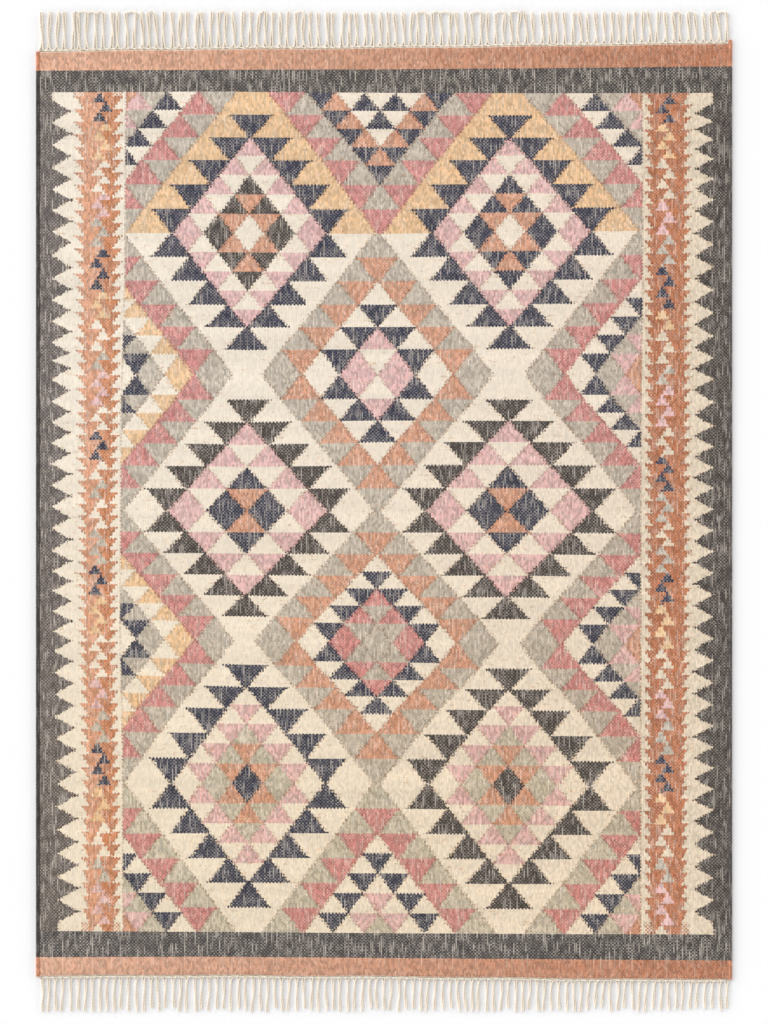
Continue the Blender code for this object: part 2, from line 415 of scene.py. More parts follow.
# The side that the low lights are stronger on, in degrees round from the near end, and by how much
STRONGER_SIDE = 225.0
STRONGER_SHARE = 0.35
SURROUND_COLOR = "FFFFFF"
SURROUND_STRENGTH = 0.40


def band_line(name, x):
    """Distance of one of the band lines from the rug's middle, at x across the rug."""
    distances = [getattr(station, name) * MM for station in BAND_STATIONS]
    return np.interp(x, [station.x for station in BAND_STATIONS], distances)


def end_line(x, way):
    """Distance of the cloth's end from the rug's middle, waved by the beating."""
    distances = [station.far if way > 0 else station.near for station in END_STATIONS]
    straight = np.interp(x, [station.x for station in END_STATIONS], distances)
    return straight + BEATING_WAVE * np.sin(TURN * x / BEATING_WAVE_LENGTH + way)


def field_axes(row):
    """The field's left edge, the axes of its inner columns, and its right edge."""
    lines = [np.interp(row, [e.row for e in FIELD_EDGES], [e.left * MM for e in FIELD_EDGES])]
    for column in (LARGE_COLUMNS[0], SMALL_COLUMNS[1], LARGE_COLUMNS[1]):
        lines.append(np.interp(row, [m.row for m in column], [m.axis * MM for m in column]))
    lines.append(np.interp(row, [e.row for e in FIELD_EDGES], [e.right * MM for e in FIELD_EDGES]))
    return lines


def field_y(x, row):
    """Where a row line runs: evenly spaced between the field's ends, but for its wander."""
    share = row / FIELD_ROWS
    stations = [0, *(line.row for line in ROW_LINES), FIELD_ROWS]
    wanders = []
    for place, axis in enumerate(field_axes(row), start=1):
        far = band_line("far_field", axis)
        near = -band_line("near_field", axis)
        lines = [far, *(line[place] * MM for line in ROW_LINES), near]
        wanders.append(np.interp(row, stations, lines) - far - share * (near - far))
    even = band_line("far_field", x) * (1.0 - share) - band_line("near_field", x) * share
    return even + np.interp(x, field_axes(row), wanders)


def roll_profile(side):
    """A selvedge's columns from its outer line inwards: x, top and underside."""
    centre = side * 0.5 * (RUG_WIDTH - SELVEDGE_WIDTH)
    half = 0.5 * SELVEDGE_THICKNESS
    columns = []
    for angle in ROLL_ANGLES:
        turn = math.radians(angle)
        x = centre + side * 0.5 * SELVEDGE_WIDTH * math.cos(turn)
        top = half + half * math.sin(turn)
        bottom = half - half * math.sin(turn) if angle <= 90 else 0.0
        columns.append((x, top, bottom))
    columns.append((side * (0.5 * RUG_WIDTH - ROLL_FOOT), CLOTH_THICKNESS, 0.0))
    return np.array(columns)


def cloth_columns(row):
    """The columns of the cloth's mesh along one row: x, top and underside."""
    left = roll_profile(-1)
    right = roll_profile(1)[::-1]
    axes = field_axes(row)
    share = np.arange(1, BORDER_COLUMNS) / BORDER_COLUMNS
    number = np.arange(FIELD_UNITS * COLUMNS_A_UNIT + 1) / COLUMNS_A_UNIT
    left_border = left[-1, 0] + share * (axes[0] - left[-1, 0])
    field = np.interp(number, np.linspace(0, FIELD_UNITS, len(axes)), axes)
    right_border = axes[-1] + share * (right[0, 0] - axes[-1])
    flat = np.concatenate([left_border, field, right_border])
    level = np.full(len(flat), CLOTH_THICKNESS)
    x = np.concatenate([left[:, 0], flat, right[:, 0]])
    top = np.concatenate([left[:, 1], level, right[:, 1]])
    bottom = np.concatenate([left[:, 2], 0.0 * level, right[:, 2]])
    return x, top, bottom


# What lies between each column and the next, and each column's number in the field
REGIONS = ["left roll"] * len(ROLL_ANGLES) + ["left border"] * BORDER_COLUMNS
REGIONS += ["field"] * FIELD_UNITS * COLUMNS_A_UNIT
REGIONS += ["right border"] * BORDER_COLUMNS + ["right roll"] * len(ROLL_ANGLES)

Row = namedtuple("Row", "band row share inset rise")


def cloth_rows():
    """The mesh's rows from the near end to the far end, each with the band after it."""
    shares = [step / BAND_ROWS for step in range(BAND_ROWS)]
    rows = [Row("near end", FIELD_ROWS, 0.0, *rim) for rim in RIM[:-1]]
    rows.append(Row("near rust", FIELD_ROWS, 0.0, *RIM[-1]))
    rows += [Row("near rust", FIELD_ROWS, share, *WHOLE) for share in shares[1:]]
    rows += [Row("near charcoal", FIELD_ROWS, share, *WHOLE) for share in shares]
    for step in range(FIELD_ROWS * ROWS_A_ROW):
        rows.append(Row("field", FIELD_ROWS - step / ROWS_A_ROW, 0.0, *WHOLE))
    rows += [Row("far charcoal", 0, share, *WHOLE) for share in shares]
    rows += [Row("far rust", 0, share, *WHOLE) for share in shares]
    rows += [Row("far end", 0, 1.0, *rim) for rim in RIM[::-1]]
    return rows


def row_y(line, x):
    """Where a row of the mesh lies along the rug, at each x across it."""
    if line.band == "field":
        return field_y(x, line.row)
    place, wool = line.band.split()
    way = 1 if place == "far" else -1
    past = np.zeros(len(x))
    past[:len(ROLL_ANGLES)] = getattr(LEFT_PAST, place)
    past[-len(ROLL_ANGLES):] = getattr(RIGHT_PAST, place)
    limits = [band_line(place + "_field", x), band_line(place + "_rust", x), end_line(x, way) + past]
    first, last = limits[:2] if wool == "charcoal" else limits[1:]
    share = line.share if way > 0 else 1.0 - line.share
    return way * (first + share * (last - first) - line.inset)


def unevenness(x, y):
    """How far beating and the floor raise or lower the cloth's top here and there."""
    point = Vector((x / UNEVENNESS_LENGTH, y / UNEVENNESS_LENGTH, 0.0))
    return UNEVENNESS * noise.noise(point)


def face_corners(grid):
    """A grid's values at the four corners of each face, in the mesh's own order."""
    return np.stack([grid[:-1, :-1], grid[:-1, 1:], grid[1:, 1:], grid[1:, :-1]], axis=-1)


def medallion_coordinates(columns, axes, column_edges, row_edges, x, unit, row):
    """At each face corner: units from the medallion's axis, rows from its centre, colouring."""
    middle_unit = unit.mean(axis=-1)
    middle_row = row.mean(axis=-1)
    values = np.zeros(x.shape + (3,))
    for column, axis, left, right in zip(columns, axes, column_edges, column_edges[1:]):
        for medallion, far, near in zip(column, row_edges, row_edges[1:]):
            mine = (middle_unit > left) & (middle_unit < right) & (middle_row > far) & (middle_row < near)
            rows_off = row[mine] - medallion.row
            axis_x = (medallion.axis + medallion.lean * rows_off) * MM
            half_base = np.where(middle_unit[mine] < axis, medallion.left_unit, medallion.right_unit) * MM
            far_half = middle_row[mine] < medallion.row
            far_number = COLOURING_NAMES.index(medallion.far)
            near_number = COLOURING_NAMES.index(medallion.near)
            values[mine, :, 0] = (x[mine] - axis_x) / half_base[:, None]
            values[mine, :, 1] = rows_off
            values[mine, :, 2] = np.where(far_half, far_number, near_number)[:, None]
    return values


def border_coordinates(border, x, y):
    """At each face corner: reaches across the teeth, counts along them, the chain's line."""
    down = band_line("far_field", border.side * 0.5 * RUG_WIDTH) - y
    inwards = 0.5 * RUG_WIDTH - border.side * x
    lines = {}
    for name in BorderLine._fields[1:]:
        stations = [line.down * MM for line in border.lines]
        lines[name] = np.interp(down, stations, [getattr(line, name) * MM for line in border.lines])
    teeth = (inwards - lines["cream_tip"]) / (lines["charcoal_tip"] - lines["cream_tip"])
    outer = (inwards - lines["rust_tip"]) / (lines["rust_root"] - lines["rust_tip"])
    inner = (lines["inner_tip"] - inwards) / (lines["inner_tip"] - lines["inner_root"])
    runs = [(0, border.chain_start)]
    for wool, count, length in border.chain:
        runs.append((runs[-1][0] + count, runs[-1][1] + length))
    counts = []
    for places in (border.teeth, border.spine, runs):
        counts.append(np.interp(down, [place[1] * MM for place in places], [place[0] for place in places]))
    reach = np.stack([teeth, outer, inner], axis=-1)
    return reach, np.stack(counts, axis=-1), inwards - lines["chain"]


def from_field_side(rows, x):
    """At each face corner, how far it lies in from the nearer side of the field."""
    edges = np.array([(field_axes(line.row)[0], field_axes(line.row)[-1]) for line in rows])
    corner_rows = face_corners(np.broadcast_to(np.arange(len(rows))[:, None], (len(rows), x.shape[1] + 1)))
    left, right = edges[corner_rows, 0], edges[corner_rows, 1]
    return np.minimum(x - left, right - x)


def build_cloth(finishes):
    """The cloth: a closed sheet with the pattern's coordinates on its face corners."""
    rows = cloth_rows()
    columns = [cloth_columns(line.row) for line in rows]
    x = np.array([column[0] for column in columns])
    y = np.array([row_y(line, across) for line, across in zip(rows, x)])
    top = np.array([column[1] for column in columns])
    bottom = np.array([column[2] for column in columns])
    rise = np.array([line.rise for line in rows])[:, None]
    middle = 0.5 * (top + bottom)
    uneven = np.vectorize(unevenness)(x, y) * (top - bottom) / CLOTH_THICKNESS
    top = middle + rise * (top + uneven - middle)
    bottom = middle + rise * (bottom - middle)

    unit = (np.arange(x.shape[1]) - REGIONS.index("field")) / COLUMNS_A_UNIT
    unit = np.broadcast_to(unit, x.shape)
    row = np.broadcast_to(np.array([line.row for line in rows], dtype=float)[:, None], x.shape)
    at = face_corners(x), face_corners(unit), face_corners(row)
    large = medallion_coordinates(LARGE_COLUMNS, LARGE_AXES, LARGE_COLUMN_EDGES, LARGE_ROW_EDGES, *at)
    small = medallion_coordinates(SMALL_COLUMNS, SMALL_AXES, SMALL_COLUMN_EDGES, SMALL_ROW_EDGES, *at)
    left = border_coordinates(LEFT_BORDER, face_corners(x), face_corners(y))
    right = border_coordinates(RIGHT_BORDER, face_corners(x), face_corners(y))
    is_left = face_corners(x) < 0.0
    patterns = {
        "large_medallion": large,
        "small_medallion": small,
        "border_reach": np.where(is_left[..., None], left[0], right[0]),
        "border_count": np.where(is_left[..., None], left[1], right[1]),
        "chain_line": np.where(is_left, left[2], right[2]),
        "field_side": from_field_side(rows, face_corners(x)),
    }
    numbers = {name: number for number, name in enumerate(finishes)}
    wools = [numbers[finish_name(line.band, region)] for line in rows[:-1] for region in REGIONS]

    layers = []
    for height in (top, bottom):
        bpy.ops.mesh.primitive_grid_add(
            x_subdivisions=len(REGIONS), y_subdivisions=len(rows) - 1, size=1.0)
        layer = bpy.context.active_object
        layer.data.vertices.foreach_set("co", np.stack([x, y, height], axis=-1).ravel())
        for uv in list(layer.data.uv_layers):
            layer.data.uv_layers.remove(uv)
        for finish in finishes.values():
            layer.data.materials.append(finish)
        layer.data.polygons.foreach_set("material_index", wools)
        for name, values in patterns.items():
            kind, field = ("FLOAT", "value") if values.ndim == 3 else ("FLOAT_VECTOR", "vector")
            attribute = layer.data.attributes.new(name, kind, "CORNER")
            attribute.data.foreach_set(field, values.ravel())
        layers.append(layer)
    layers[1].data.flip_normals()
    cloth = joined(layers, "wool_cloth")
    bpy.ops.object.mode_set(mode="EDIT")
    bpy.ops.mesh.select_all(action="SELECT")
    bpy.ops.mesh.remove_doubles(threshold=0.01 * MM)
    bpy.ops.object.mode_set(mode="OBJECT")
    bpy.ops.object.shade_smooth_by_angle(angle=math.radians(60))
    return cloth


def finish_name(band, region):
    """Which of the cloth's finishes a face has."""
    wool = band.split()[-1]
    if "roll" in region:
        return "rust selvedge" if wool in ("rust", "end") else region.replace("roll", "selvedge")
    return region if wool == "field" else wool


def joined(pieces, name):
    """Join some objects into one."""
    bpy.ops.object.select_all(action="DESELECT")
    for piece in pieces:
        piece.select_set(True)
    bpy.context.view_layer.objects.active = pieces[0]
    bpy.ops.object.join()
    piece = bpy.context.active_object
    piece.name = name
    piece.data.name = name
    return piece


def yarn_template(rings):
    """A straight closed tube of some rings, whose two plies leave a groove on each side."""
    bpy.ops.mesh.primitive_cylinder_add(vertices=YARN_SIDES, radius=1.0, depth=1.0)
    tube = bpy.context.active_object
    for uv in list(tube.data.uv_layers):
        tube.data.uv_layers.remove(uv)
    bpy.ops.object.mode_set(mode="EDIT")
    shape = bmesh.from_edit_mesh(tube.data)
    for edge in shape.edges:
        edge.select_set(abs(edge.verts[0].co.z - edge.verts[1].co.z) > 0.5)
    bmesh.update_edit_mesh(tube.data)
    bpy.ops.mesh.subdivide(number_cuts=rings - 2)
    bpy.ops.object.mode_set(mode="OBJECT")
    return tube


def lay_yarn(template, path, radius, flatness, lay, turn):
    """A copy of a tube, laid along a path as two plies twisted round each other."""
    places = np.empty(len(template.data.vertices) * 3)
    template.data.vertices.foreach_get("co", places)
    places = places.reshape(-1, 3)
    path = np.array(path)
    tangent = np.gradient(path, axis=0)
    tangent /= np.linalg.norm(tangent, axis=1)[:, None]
    across = np.cross(tangent, (0.0, 0.0, 1.0))
    across /= np.linalg.norm(across, axis=1)[:, None]
    over = np.cross(across, tangent)
    run = np.concatenate([[0.0], np.cumsum(np.linalg.norm(np.diff(path, axis=0), axis=1))])
    ring = np.rint((places[:, 2] + 0.5) * (len(path) - 1)).astype(int)
    side = np.rint(np.arctan2(places[:, 1], places[:, 0]) / TURN * YARN_SIDES).astype(int) % YARN_SIDES
    section = np.array([LOBE, SHOULDER, GROOVE, SHOULDER] * 2)[side]
    angle = TURN * (side / YARN_SIDES + run[ring] / lay + turn)
    end = np.where((ring == 0) | (ring == len(path) - 1), 0.7, 1.0)
    wide = (radius * section * end * np.cos(angle))[:, None]
    high = (radius * flatness * section * end * np.sin(angle))[:, None]
    mesh = template.data.copy()
    mesh.vertices.foreach_set("co", (path[ring] + wide * across[ring] + high * over[ring]).ravel())
    groove = mesh.attributes.new("groove", "FLOAT", "POINT")
    groove.data.foreach_set("value", np.where(section == GROOVE, 1.0, 0.0))
    yarn = bpy.data.objects.new("yarn", mesh)
    bpy.context.collection.objects.link(yarn)
    return yarn


def lay_all(paths, name, radius, flatness, lay, dice):
    """Lay a yarn along each path and join them all into one piece."""
    templates = {}
    yarns = []
    for path in paths:
        if len(path) not in templates:
            templates[len(path)] = yarn_template(len(path))
        yarns.append(lay_yarn(templates[len(path)], path, radius, flatness, lay, dice.random()))
    for template in templates.values():
        bpy.data.objects.remove(template)
    piece = joined(yarns, name)
    bpy.ops.object.mode_set(mode="EDIT")
    bpy.ops.mesh.select_all(action="SELECT")
    bpy.ops.mesh.normals_make_consistent(inside=False)
    bpy.ops.object.mode_set(mode="OBJECT")
    bpy.ops.object.shade_smooth_by_angle(angle=math.radians(60))
    return piece


def keep_apart(lines, limit):
    """Push the strands' lines apart until none is nearer than the least spacing."""
    spaced = []
    floor = [-limit] * (STRAND_STEPS + 1)
    for line in lines:
        line = [max(x, least) for x, least in zip(line, floor)]
        floor = [x + STRAND_SPACING_LEAST for x in line]
        spaced.append(line)
    pushed = []
    ceiling = [limit] * (STRAND_STEPS + 1)
    for line in reversed(spaced):
        line = [min(x, most) for x, most in zip(line, ceiling)]
        ceiling = [x - STRAND_SPACING_LEAST for x in line]
        pushed.append(line)
    return pushed[::-1]


def fringe_strands(fringe):
    """Each strand's x at even steps from root to tip, and its tip, as in the frame."""
    dice = random.Random(fringe.seed)
    limit = HEADING_HALF_LENGTH - 0.5 * STRAND_WIDTH
    strands = []
    for number in range(fringe.count):
        root = limit * (2.0 * number / (fringe.count - 1) - 1.0)
        root += dice.uniform(-1.0, 1.0) * fringe.root_wander
        lean = dice.uniform(-1.0, 1.0) * fringe.tip_wander
        bow = dice.uniform(-1.0, 1.0) * fringe.bow
        short = fringe.shortfall * dice.random() ** 2
        line = []
        for step in range(STRAND_STEPS + 1):
            share = step / STRAND_STEPS
            sway = math.sin(TURN * STRAND_BOW_TURNS * share)
            line.append(root + lean * share + bow * sway)
        strands.append(Strand(line, 0.5 * RUG_LENGTH - short))
    spare = 0.5 * RUG_LENGTH - max(strand.tip for strand in strands)
    lines = keep_apart([strand.line for strand in strands], limit)
    return [Strand(line, strand.tip + spare) for line, strand in zip(lines, strands)]


def yarn_line(fringe, strand, side, turn, tip):
    """One of a strand's two yarns, from its root in the heading to its tip."""
    yarns = YARNS[fringe.name]
    root = end_line(strand.line[0], fringe.way) + PIECE_GAP + HEADING_WIDTH - STRAND_ROOT_DEPTH
    length = tip - root
    bend = np.polyfit(np.linspace(0.0, 1.0, STRAND_STEPS + 1), strand.line, STRAND_STEPS)
    share = np.linspace(0.0, 1.0, max(3, round(length / YARN_STEP)))
    splayed = np.clip(1.0 - share * length / SPLAY_LENGTH, 0.0, 1.0) ** 2
    phase = TURN * (yarns.winds * share + turn) * (1.0 - splayed)
    apart = yarns.spread * np.cos(phase) + (yarns.root_spread - yarns.spread) * splayed
    lifted = YARN_LIFT * yarns.radius * np.clip(side * np.sin(phase), 0.0, 1.0)
    x = np.polyval(bend, share) + side * apart
    y = fringe.way * (root + share * length)
    z = yarns.radius + lifted + (0.5 * HEADING_THICKNESS - yarns.radius) * splayed
    return np.stack([x, y, z], axis=-1)


def build_fringe(fringe):
    """The warp ends beyond a heading, in pairs, some still joined as loops at their tips."""
    yarns = YARNS[fringe.name]
    dice = random.Random(yarns.seed)
    paths = []
    waiting = None
    for strand in fringe_strands(fringe):
        turn = dice.uniform(-0.15, 0.15)
        looped = dice.random() < yarns.loops
        left_tip = strand.tip - dice.random() * yarns.end_wander
        right_tip = strand.tip - dice.random() * yarns.end_wander
        left = yarn_line(fringe, strand, -1, turn, left_tip)
        right = yarn_line(fringe, strand, 1, turn, right_tip)
        if waiting is None:
            paths.append(left)
        else:
            crown = 0.5 * (waiting[-1] + left[-1])
            paths.append(np.concatenate([waiting[:-2], [crown], left[-3::-1]]))
        waiting = right if looped else None
        if not looped:
            paths.append(right)
    if waiting is not None:
        paths.append(waiting)
    return lay_all(paths, fringe.name + "_yarns", yarns.radius, 0.92, YARN_LAY, dice)


def build_heading(fringe):
    """The twined cord that locks the last weft at one end of the cloth."""
    count = round(2.0 * HEADING_HALF_LENGTH / YARN_STEP)
    x = np.linspace(-HEADING_HALF_LENGTH, HEADING_HALF_LENGTH, count)
    y = fringe.way * (end_line(x, fringe.way) + PIECE_GAP + 0.5 * HEADING_WIDTH - HEADING_TUCK)
    z = np.full(count, 0.5 * HEADING_THICKNESS)
    radius = 0.5 * HEADING_WIDTH + HEADING_TUCK
    flatness = 0.5 * HEADING_THICKNESS / radius
    path = np.stack([x, y, z], axis=-1)
    name = fringe.name.replace("fringe", "heading")
    return lay_all([path], name, radius, flatness, HEADING_LAY, random.Random(3))


def linear(code):
    """A colour's linear values from its sRGB hex code."""
    channels = [int(code[place:place + 2], 16) / 255.0 for place in (0, 2, 4)]
    return tuple(c / 12.92 if c <= 0.04045 else ((c + 0.055) / 1.055) ** 2.4 for c in channels) + (1.0,)


def add_node(tree, kind, inputs=(), output=0, **settings):
    """Add a node with its settings, set or link its inputs, and return one of its outputs."""
    added = tree.nodes.new("ShaderNode" + kind)
    for name, value in settings.items():
        setattr(added, name, value)
    sockets = [socket for socket in added.inputs if socket.enabled]
    named = inputs.items() if isinstance(inputs, dict) else enumerate(inputs)
    for key, value in named:
        socket = sockets[key] if isinstance(key, int) else added.inputs[key]
        if isinstance(value, bpy.types.NodeSocket):
            tree.links.new(value, socket)
        elif isinstance(value, tuple):
            socket.default_value = value[:len(socket.default_value)]
        else:
            socket.default_value = value
    outputs = [socket for socket in added.outputs if socket.enabled]
    if not outputs:
        return added
    return outputs[output] if isinstance(output, int) else added.outputs[output]


def wool_ramp(tree, factor, names):
    """A ramp that gives each of some wools an equal share, with no blend between them."""
    color = add_node(tree, "ValToRGB", [factor])
    ramp = color.node.color_ramp
    ramp.interpolation = "CONSTANT"
    last = None
    for number, name in enumerate(names):
        if name == last:
            continue
        last = name
        stop = ramp.elements[0] if number == 0 else ramp.elements.new(number / len(names))
        stop.position = number / len(names)
        stop.color = linear(WOOLS[name])
    ramp.elements.remove(ramp.elements[-1])
    return color


def new_material(name):
    """An empty material and its node tree."""
    material = bpy.data.materials.new(name)
    material.use_nodes = True
    material.node_tree.nodes.clear()
    return material, material.node_tree


Threads = namedtuple("Threads", "place along rib in_rib in_pick in_step along_pick cell chance")


def threads(tree):
    """Where a point lies in the weave: its place, its rib and pick, and how far into each.

    Neighbouring ribs are half a pair of picks apart, because a weft that passes over one
    warp passes under the next. Hand-spun threads wander a little from their lines.
    """
    n = partial(add_node, tree)
    place = n("TexCoord", output="Object")
    drift = n("TexNoise", {"Vector": place, "Scale": 1.0 / THREAD_WANDER_LENGTH, "Detail": 1.0}, output="Color")
    drift = n("VectorMath", [drift, (0.5, 0.5, 0.5)], operation="SUBTRACT")
    drift = n("VectorMath", [drift, THREAD_WANDER], operation="SCALE")
    moved = n("VectorMath", [place, drift], operation="ADD")
    across = n("SeparateXYZ", [moved], output="X")
    along = n("SeparateXYZ", [moved], output="Y")
    ribs = n("Math", [across, WARP_RIB], operation="DIVIDE")
    rib = n("Math", [ribs], operation="FLOOR")
    in_rib = n("Math", [n("Math", [ribs], operation="FRACT"), 0.5], operation="SUBTRACT")
    steps = n("Math", [across, EDGE_STEP], operation="DIVIDE")
    in_step = n("Math", [n("Math", [steps], operation="FRACT"), 0.5], operation="SUBTRACT")
    odd = n("Math", [n("Math", [rib, 0.5], operation="MULTIPLY")], operation="FRACT")
    picks = n("Math", [n("Math", [along, PICK_PAIR], operation="DIVIDE"), odd], operation="ADD")
    pick = n("Math", [picks], operation="FLOOR")
    in_pick = n("Math", [n("Math", [picks], operation="FRACT"), 0.5], operation="SUBTRACT")
    cell = n("CombineXYZ", [rib, pick, 0.5])
    chance = n("TexWhiteNoise", [cell], noise_dimensions="3D")
    single = n("Math", [n("Math", [along, 0.5 * PICK_PAIR], operation="DIVIDE")], operation="FLOOR")
    along_pick = n("CombineXYZ", [0.5, single, 7.0])
    return Threads(place, along, rib, in_rib, in_pick, in_step, along_pick, cell, chance)


def ragged_edge(tree, spun, loops, raggedness):
    """How far an edge strays sideways, where each weft turns back round its last warp."""
    n = partial(add_node, tree)
    looped = n("Math", [n("Math", [spun.along, PICK_PAIR], operation="DIVIDE"), 0.5], operation="PINGPONG")
    looped = n("Math", [n("Math", [looped, 0.25], operation="SUBTRACT"), 4.0 * loops], operation="MULTIPLY")
    pick = n("Math", [n("Math", [spun.along, 0.5 * PICK_PAIR], operation="DIVIDE")], operation="FLOOR")
    stray = n("TexWhiteNoise", [n("CombineXYZ", [0.5, pick, spun.rib])], noise_dimensions="3D")
    stray = n("Math", [n("Math", [stray, 0.5], operation="SUBTRACT"), 2.0 * raggedness], operation="MULTIPLY")
    return n("Math", [looped, stray], operation="ADD")


def weave(tree, spun, wool, slit, showing, yellows=0.0):
    """Weft-faced plain weave: hand-spun wool beaten over cotton warps that glint through.

    The pale warp shows as dots in a checker between the picks, and as upright streaks along
    a rib where the wefts lie loosely. The wool has flecks that took more dye, and it varies
    from pick to pick and in broad bands across.
    """
    n = partial(add_node, tree)
    place = spun.place
    off_pick = n("Math", [spun.in_pick], operation="ABSOLUTE")
    off_rib = n("Math", [spun.in_rib], operation="ABSOLUTE")

    # Where the warp shows, most of all in loosely beaten patches
    patches = n("TexNoise", {"Vector": place, "Scale": 1.0 / PATCH_SIZE, "Detail": 2.0, "Roughness": 0.6})
    patches = n("MapRange", [patches, 0.36, 0.60, 0.45, 1.0])
    dots = n("MapRange", [off_pick, 0.20, 0.32, 0.0, 1.0])
    dots = n("Math", [dots, n("MapRange", [spun.chance, 0.05, 0.85, 0.2, 1.0])], operation="MULTIPLY")
    dots = n("Math", [dots, n("Math", [patches, DOT_SHOWING], operation="MULTIPLY")], operation="MULTIPLY")
    streak_along = n("Math", [spun.along, STREAK_LENGTH], operation="DIVIDE")
    own_rib = n("Math", [spun.rib, 5.3], operation="MULTIPLY")
    streaks = n("TexNoise", {"Vector": n("CombineXYZ", [own_rib, streak_along, 0.0]), "Scale": 1.0, "Detail": 0.0})
    streaks = n("MapRange", [streaks, 0.52, 0.68, 0.0, STREAK_SHOWING])
    streaks = n("Math", [streaks, n("MapRange", [off_rib, 0.15, 0.40, 1.0, 0.2])], operation="MULTIPLY")
    shown = n("Math", [dots, streaks], operation="MAXIMUM")
    shown = n("Math", [shown, showing], operation="MULTIPLY", use_clamp=True)

    # The wool's own colour
    flecks = n("VectorMath", [place, (0.4, 1.3, 1.0)], operation="MULTIPLY")
    flecks = n("TexNoise", {"Vector": flecks, "Scale": 1.0 / FLECK_SIZE, "Detail": 2.0, "Roughness": 0.6})
    flecks = n("MapRange", [flecks, 0.62, 0.70, 0.0, 1.0])
    deep = n("VectorMath", [wool, DEEP_WOOL], operation="MULTIPLY")
    dyed = n("Mix", [flecks, wool, deep], data_type="RGBA")
    if yellows:
        near = n("MapRange", [spun.along, *YELLOWING, 0.0, yellows])
        yellowed = n("VectorMath", [dyed, YELLOWED_WOOL], operation="MULTIPLY")
        dyed = n("Mix", [near, dyed, yellowed], data_type="RGBA")
    tinted = n("Mix", [WARP_TINT, linear(WARP_COLOR), dyed], data_type="RGBA")
    mixed = n("Mix", [shown, dyed, tinted], data_type="RGBA")

    # Its tone from pick to pick and in bands across, and painted shade round each rib and in the open slits
    other_cell = n("VectorMath", [spun.cell, (17.0, 5.0, 3.0)], operation="ADD")
    heather = n("TexWhiteNoise", [other_cell], noise_dimensions="3D")
    heather = n("MapRange", [heather, 0.0, 1.0, *HEATHER])
    evened = n("MapRange", [n("RGBToBW", [dyed]), *PALE, 0.0, 1.0 - PALE_HEATHER])
    heather = n("Mix", [evened, heather, 1.0], data_type="FLOAT")
    bands = n("VectorMath", [place, (1.2, 1.0 / ABRASH_HEIGHT, 1.0)], operation="MULTIPLY")
    bands = n("MapRange", [n("TexNoise", {"Vector": bands, "Scale": 1.0, "Detail": 2.0}), 0.3, 0.7, 0.93, 1.05])
    # Painted shade: each rib darker at its sides, where it rounds away between ribs
    rib_side_shade = n("MapRange", [off_rib, 0.25, 0.5, 1.0, 0.92])
    shade = n("Math", [heather, bands], operation="MULTIPLY")
    shade = n("Math", [shade, rib_side_shade], operation="MULTIPLY")
    color = n("VectorMath", [mixed, shade], operation="SCALE")
    # Painted shade: the open slits darken the colour, tinted by the light they let back out
    shaded_in_slit = n("VectorMath", [color, SLIT_SHADE], operation="MULTIPLY")
    color = n("Mix", [slit, color, shaded_in_slit], data_type="RGBA")

    # Relief: a bead where each pick passes over a rib, and the open slits
    round_rib = n("MapRange", [n("Math", [spun.in_rib, spun.in_rib], operation="MULTIPLY"), 0.0, 0.25, 0.6, 0.0])
    round_pick = n("MapRange", [n("Math", [spun.in_pick, spun.in_pick], operation="MULTIPLY"), 0.0, 0.25, 0.4, 0.0])
    relief = n("Math", [round_rib, round_pick], operation="ADD")
    relief = n("Math", [relief, n("Math", [slit, 0.8], operation="MULTIPLY")], operation="SUBTRACT")
    bump = n("Bump", {"Strength": 1.0, "Distance": WEAVE_DEPTH, "Height": relief})
    surface = n("BsdfPrincipled", {
        "Base Color": color, "Roughness": 0.92, "Specular IOR Level": 0.25,
        "Sheen Weight": 0.08, "Sheen Roughness": 0.6, "Normal": bump})
    n("OutputMaterial", {"Surface": surface})


def slit_shade_line(tree, spun, distances):
    """The painted shade of the slits along some edges: a dark line, broken where a weft closes them."""
    n = partial(add_node, tree)
    nearest = distances[0]
    for distance in distances[1:]:
        nearest = n("Math", [nearest, distance], operation="MINIMUM")
    line = n("MapRange", [nearest, 0.25 * SLIT_REACH, SLIT_REACH, SLIT_SHADE_STRENGTH, 0.0])
    closed = n("TexNoise", {"Vector": spun.place, "Scale": 1.0 / FLECK_SIZE, "Detail": 2.0})
    closed = n("MapRange", [closed, 0.36, 0.52, 0.0, 1.0])
    return n("Math", [line, closed], operation="MULTIPLY")


def role_wools(role):
    """The name of one role's wool in every colouring: outer is role 0, inner is role 1."""
    names = {field: [] for field in Colouring._fields}
    for colouring in COLOURINGS.values():
        for field, wools in colouring._asdict().items():
            pair = (wools or "cream").split()
            names[field].append(pair[min(role, len(pair) - 1)])
    return names


